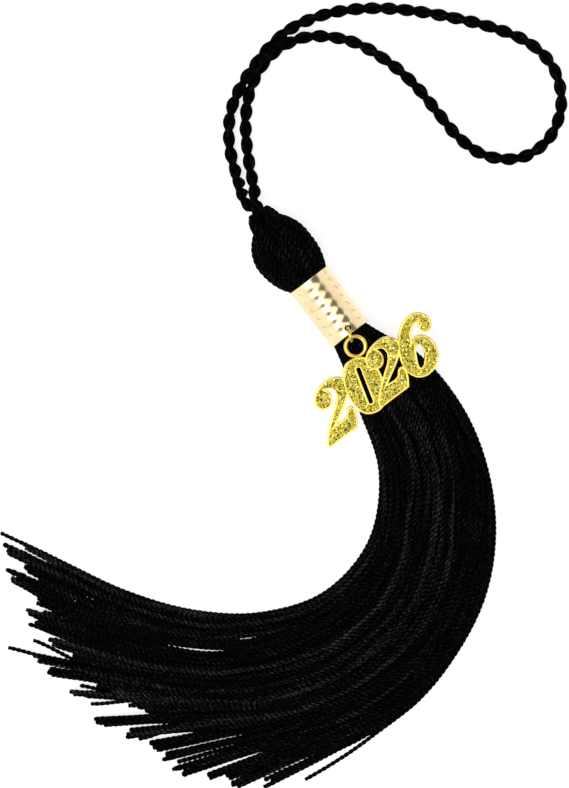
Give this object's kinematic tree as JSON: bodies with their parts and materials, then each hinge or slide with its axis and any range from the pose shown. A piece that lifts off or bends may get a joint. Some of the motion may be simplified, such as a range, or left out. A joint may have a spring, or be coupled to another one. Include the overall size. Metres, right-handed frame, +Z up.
{
  "type": "graduation tassel",
  "caption": "Yarn tassel with a twisted hanging loop, ribbed metal band, curling fringed skirt and a glitter numeral charm on a link.",
  "frame": {"origin": "middle of the tassel's box without its cords, on the table it lies on", "axes": "+Z up from the table, +Y along the band towards the hanging loop, +X along the charm's numerals"},
  "size_m": [0.2297, 0.1801, 0.019],
  "materials": {
    "yarn": "satin",
    "loop_cord": "satin",
    "inner_yarn": "matte",
    "band_metal": "polished",
    "charm_metal": "polished",
    "link_metal": "polished",
    "glitter": "gloss"
  },
  "bodies": {
    "head": {"ferrule": "band_metal", "head_mantle": "yarn", "head_core": "inner_yarn", "fold_tie": "inner_yarn", "head_collar": "yarn", "neck_bundle": "yarn", "neck_binding": "inner_yarn"},
    "loop": {"loop_knot": "loop_cord", "loop_cord": "loop_cord"},
    "skirt": {"skirt_root": "yarn", "lock_1": "yarn", "lock_2": "yarn", "lock_3": "yarn", "lock_4": "yarn", "lock_5": "yarn", "lock_6": "yarn", "lock_7": "yarn", "strand_inner": "yarn", "strand_1_low": "yarn", "strand_1_top": "yarn", "strand_2_low": "yarn", "strand_2_top": "yarn", "strand_3_low": "yarn", "strand_3_top": "yarn", "strand_4_low": "yarn", "strand_4_top": "yarn", "strand_5_low": "yarn", "strand_5_top": "yarn", "strand_6_low": "yarn", "strand_6_top": "yarn", "strand_outer": "yarn"},
    "link": {"link_ring": "link_metal"},
    "charm": {"charm_casting": "charm_metal", "glitter_first_two": "glitter", "glitter_zero": "glitter", "glitter_second_two": "glitter", "glitter_six": "glitter"}
  },
  "joints": [
    {"name": "loop_swing", "type": "hinge", "parent": "head", "child": "loop", "pos_m": [0.0476, 0.06675, 0.0092], "axis": [0, 0, 1], "range_deg": [-25, 25]},
    {"name": "skirt_swing", "type": "hinge", "parent": "head", "child": "skirt", "pos_m": [0.0476, 0.02375, 0.0092], "axis": [0, 0, 1], "range_deg": [-18, 18]},
    {"name": "charm_lift", "type": "hinge", "parent": "head", "child": "link", "pos_m": [0.04735, 0.02375, 0.01635], "axis": [-0.9397, 0.342, 0], "range_deg": [0, 110]},
    {"name": "charm_swing", "type": "hinge", "parent": "link", "child": "charm", "pos_m": [0.04666, 0.02185, 0.01635], "axis": [0, -0.1564, 0.9877], "range_deg": [-25, 25]}
  ]
}
